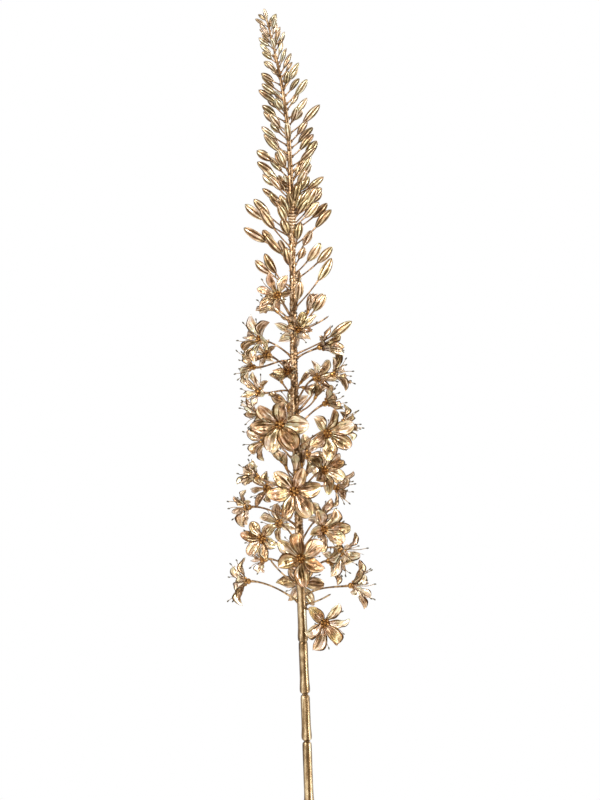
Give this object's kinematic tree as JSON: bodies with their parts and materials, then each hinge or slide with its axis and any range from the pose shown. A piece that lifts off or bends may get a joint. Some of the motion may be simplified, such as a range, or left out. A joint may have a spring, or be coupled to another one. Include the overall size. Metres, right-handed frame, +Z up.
{
  "type": "foxtail lily spike in vase",
  "caption": "Tall gilded foxtail lily spike, with open six-petalled blooms below and ribbed buds to the tip, standing in a plain glazed bottle vase.",
  "frame": {"origin": "middle of the vase's flat foot, on the surface it stands on", "axes": "+Z up along the vase, +Y away from the viewer of the front view, +X to the viewer's right; the tip of the spike leans towards -X"},
  "size_m": [0.1376, 0.1042, 1.0878],
  "materials": {
    "gilt_petal": "champagne and bronze metallic spray on moulded plastic and cloth petals, satin",
    "gilt_stem": "bronze metallic spray on moulded plastic, glossy",
    "vase_glaze": "plain off-white satin glaze"
  },
  "bodies": {
    "root": {"vase": "vase_glaze", "flower_stem": "gilt_stem", "bloom_01": "gilt_petal", "bloom_02": "gilt_petal", "bloom_03": "gilt_petal", "bloom_04": "gilt_petal", "bloom_05": "gilt_petal", "bloom_06": "gilt_petal", "bloom_07": "gilt_petal", "bloom_08": "gilt_petal", "bloom_09": "gilt_petal", "bloom_10": "gilt_petal", "bloom_11": "gilt_petal", "bloom_12": "gilt_petal", "bloom_13": "gilt_petal", "bloom_14": "gilt_petal", "bloom_15": "gilt_petal", "bloom_16": "gilt_petal", "bloom_17": "gilt_petal", "bloom_18": "gilt_petal", "bloom_19": "gilt_petal", "bloom_20": "gilt_petal", "bloom_21": "gilt_petal", "bloom_22": "gilt_petal", "bloom_23": "gilt_petal", "bloom_24": "gilt_petal", "bloom_25": "gilt_petal", "bloom_26": "gilt_petal", "bloom_27": "gilt_petal", "bloom_28": "gilt_petal", "bloom_29": "gilt_petal", "bloom_30": "gilt_petal", "bloom_31": "gilt_petal", "bloom_32": "gilt_petal", "bloom_33": "gilt_petal", "bloom_34": "gilt_petal", "bloom_35": "gilt_petal", "bloom_36": "gilt_petal", "bloom_37": "gilt_petal", "bloom_38": "gilt_petal"}
  },
  "joints": []
}
